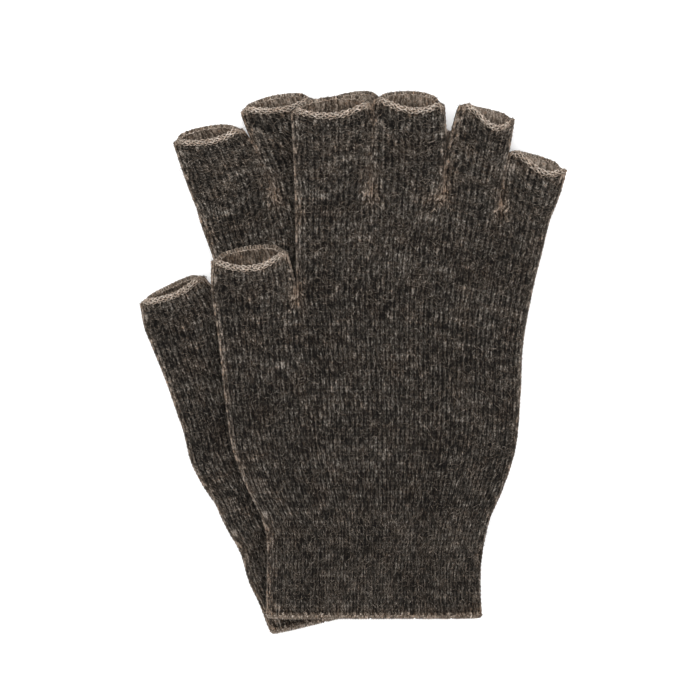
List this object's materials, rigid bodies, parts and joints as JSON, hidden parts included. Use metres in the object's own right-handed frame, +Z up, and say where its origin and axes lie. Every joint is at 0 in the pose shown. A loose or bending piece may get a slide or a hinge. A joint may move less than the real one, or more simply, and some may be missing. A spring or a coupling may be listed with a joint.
{
  "type": "pair of fingerless gloves",
  "caption": "Pair of knitted wool fingerless gloves lying flat and stacked, with open half-finger tubes, an open thumb tube and a long elasticated cuff.",
  "frame": {"origin": "on the table, under the middle of the stacked pair's box", "axes": "+Z up from the table, +Y from the cuffs to the fingertips of the upper (left) glove, +X to the side away from the thumbs"},
  "size_m": [0.1544, 0.1996, 0.0181],
  "materials": {
    "knit_wool": "marled charcoal-brown wool, fine plain knit, slightly hairy",
    "edge_yarn": "the same wool at the loose edge loops, paler",
    "welt_yarn": "the same wool at the cuff's rolled edge",
    "elastic_yarn": "covered elastic yarn, dark",
    "joining_yarn": "paler wool stitches that close the crotches"
  },
  "bodies": {
    "right_hand": {"right_palm": "knit_wool", "right_finger_palm": "knit_wool", "right_crotch_stitches": "joining_yarn", "right_cuff": "knit_wool", "right_cuff_welt": "welt_yarn", "right_cuff_elastic": "elastic_yarn"},
    "right_thumb": {"right_thumb": "knit_wool", "right_thumb_edge": "edge_yarn"},
    "right_index": {"right_index": "knit_wool", "right_index_edge": "edge_yarn"},
    "right_middle": {"right_middle": "knit_wool", "right_middle_edge": "edge_yarn"},
    "right_ring": {"right_ring": "knit_wool", "right_ring_edge": "edge_yarn"},
    "right_little": {"right_little": "knit_wool", "right_little_edge": "edge_yarn"},
    "left_hand": {"left_palm": "knit_wool", "left_finger_palm": "knit_wool", "left_crotch_stitches": "joining_yarn"},
    "left_cuff": {"left_cuff": "knit_wool", "left_cuff_welt": "welt_yarn", "left_cuff_elastic": "elastic_yarn"},
    "left_thumb": {"left_thumb": "knit_wool", "left_thumb_edge": "edge_yarn"},
    "left_index": {"left_index": "knit_wool", "left_index_edge": "edge_yarn"},
    "left_middle": {"left_middle": "knit_wool", "left_middle_edge": "edge_yarn"},
    "left_ring": {"left_ring": "knit_wool", "left_ring_edge": "edge_yarn"},
    "left_little": {"left_little": "knit_wool", "left_little_edge": "edge_yarn"}
  },
  "joints": [
    {"name": "left_glove_lift", "type": "slide", "parent": "right_hand", "child": "left_hand", "axis": [0, 0, 1], "range_m": [0, 0.08]},
    {"name": "left_thumb_fold", "type": "hinge", "parent": "left_hand", "child": "left_thumb", "pos_m": [-0.03418, 0.02267, 0.0137], "axis": [0.9971, 0.0767, 0], "range_deg": [0, 60], "stiffness_Nm_per_rad": 0.01},
    {"name": "left_index_fold", "type": "hinge", "parent": "left_hand", "child": "left_index", "pos_m": [-0.00592, 0.06114, 0.0137], "axis": [1, 0, 0], "range_deg": [0, 60], "stiffness_Nm_per_rad": 0.01},
    {"name": "left_middle_fold", "type": "hinge", "parent": "left_hand", "child": "left_middle", "pos_m": [0.02045, 0.06025, 0.0137], "axis": [0.9976, -0.0698, 0], "range_deg": [0, 60], "stiffness_Nm_per_rad": 0.01},
    {"name": "left_ring_fold", "type": "hinge", "parent": "left_hand", "child": "left_ring", "pos_m": [0.0435, 0.057, 0.01229], "axis": [0.9527, -0.221, -0.2086], "range_deg": [0, 60], "stiffness_Nm_per_rad": 0.01},
    {"name": "left_little_fold", "type": "hinge", "parent": "left_hand", "child": "left_little", "pos_m": [0.06293, 0.05188, 0.00805], "axis": [0.9379, -0.2801, -0.2046], "range_deg": [0, 60], "stiffness_Nm_per_rad": 0.01},
    {"name": "left_cuff_fold", "type": "hinge", "parent": "left_hand", "child": "left_cuff", "pos_m": [0.01033, -0.05835, 0.0137], "axis": [-1, 0, 0], "range_deg": [0, 60], "stiffness_Nm_per_rad": 0.03},
    {"name": "right_thumb_spread", "type": "hinge", "parent": "right_hand", "child": "right_thumb", "pos_m": [-0.07413, 0.00827, 0.0044], "axis": [0, 0, 1], "range_deg": [0, 20], "stiffness_Nm_per_rad": 0.01},
    {"name": "right_index_spread", "type": "hinge", "parent": "right_hand", "child": "right_index", "pos_m": [-0.0543, 0.05381, 0.0044], "axis": [0, 0, 1], "range_deg": [0, 12], "stiffness_Nm_per_rad": 0.01},
    {"name": "right_middle_spread", "type": "hinge", "parent": "right_hand", "child": "right_middle", "pos_m": [-0.02785, 0.06016, 0.0044], "axis": [0, 0, 1], "range_deg": [0, 4.8], "stiffness_Nm_per_rad": 0.01},
    {"name": "right_ring_spread", "type": "hinge", "parent": "right_hand", "child": "right_ring", "pos_m": [0.01879, 0.06468, 0.0044], "axis": [0, 0, 1], "range_deg": [-4.8, 0], "stiffness_Nm_per_rad": 0.01},
    {"name": "right_little_spread", "type": "hinge", "parent": "right_hand", "child": "right_little", "pos_m": [0.03847, 0.06375, 0.0044], "axis": [0, 0, 1], "range_deg": [-12, 0], "stiffness_Nm_per_rad": 0.01}
  ],
  "couplings": [
    {"joint": "right_middle_spread", "follows": "right_index_spread", "ratio": 0.4},
    {"joint": "right_ring_spread", "follows": "right_index_spread", "ratio": -0.4},
    {"joint": "right_little_spread", "follows": "right_index_spread", "ratio": -1}
  ]
}
